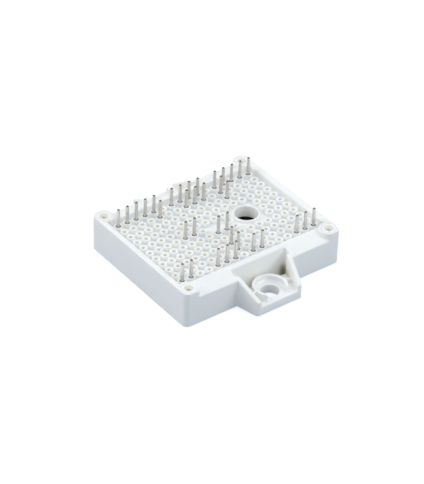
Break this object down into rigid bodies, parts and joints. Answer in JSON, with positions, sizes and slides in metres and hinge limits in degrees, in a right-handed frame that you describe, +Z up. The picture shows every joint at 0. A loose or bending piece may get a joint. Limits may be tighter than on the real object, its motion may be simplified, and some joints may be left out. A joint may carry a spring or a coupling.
{
  "type": "power module",
  "caption": "Flat white semiconductor power module with solder pins on a pegged lid and two screw tabs.",
  "frame": {"origin": "centre of the underside of the base copper", "axes": "+X along the long side of the body, +Y through the two screw tabs, +Z up along the pins"},
  "size_m": [0.0566, 0.0628, 0.0168],
  "materials": {
    "white_plastic": "satin moulded",
    "copper": "bare rolled copper",
    "ceramic": "fine matte",
    "tinned_pin": "tin plated",
    "die": "polished",
    "bond_ribbon": "bright rolled",
    "thermistor": "matte",
    "gel": "clear soft",
    "adhesive": "matte"
  },
  "bodies": {
    "root": {"adhesive_bead": "adhesive", "base_copper": "copper", "bond_ribbons_left_high": "bond_ribbon", "bond_ribbons_left_low": "bond_ribbon", "bond_ribbons_right_high": "bond_ribbon", "bond_ribbons_right_low": "bond_ribbon", "ceramic_substrate": "ceramic", "circuit_copper": "copper", "die_left_high_1": "die", "die_left_high_2": "die", "die_left_low_1": "die", "die_left_low_2": "die", "die_right_high_1": "die", "die_right_high_2": "die", "die_right_low_1": "die", "die_right_low_2": "die", "housing": "white_plastic", "pin_c00_r00": "tinned_pin", "pin_c00_r10": "tinned_pin", "pin_c01_r00": "tinned_pin", "pin_c01_r10": "tinned_pin", "pin_c02_r00": "tinned_pin", "pin_c03_r00": "tinned_pin", "pin_c04_r00": "tinned_pin", "pin_c04_r01": "tinned_pin", "pin_c04_r05": "tinned_pin", "pin_c04_r10": "tinned_pin", "pin_c05_r05": "tinned_pin", "pin_c05_r10": "tinned_pin", "pin_c06_r00": "tinned_pin", "pin_c06_r10": "tinned_pin", "pin_c07_r00": "tinned_pin", "pin_c07_r01": "tinned_pin", "pin_c07_r06": "tinned_pin", "pin_c07_r08": "tinned_pin", "pin_c07_r09": "tinned_pin", "pin_c08_r00": "tinned_pin", "pin_c08_r01": "tinned_pin", "pin_c08_r06": "tinned_pin", "pin_c08_r10": "tinned_pin", "pin_c09_r00": "tinned_pin", "pin_c09_r01": "tinned_pin", "pin_c09_r10": "tinned_pin", "pin_c11_r00": "tinned_pin", "pin_c11_r01": "tinned_pin", "pin_c11_r02": "tinned_pin", "pin_c12_r00": "tinned_pin", "pin_c13_r00": "tinned_pin", "pin_c13_r10": "tinned_pin", "pin_c14_r00": "tinned_pin", "pin_c14_r10": "tinned_pin", "pin_c15_r00": "tinned_pin", "pin_c15_r10": "tinned_pin", "silicone_gel": "gel", "thermistor": "thermistor"}
  },
  "joints": []
}
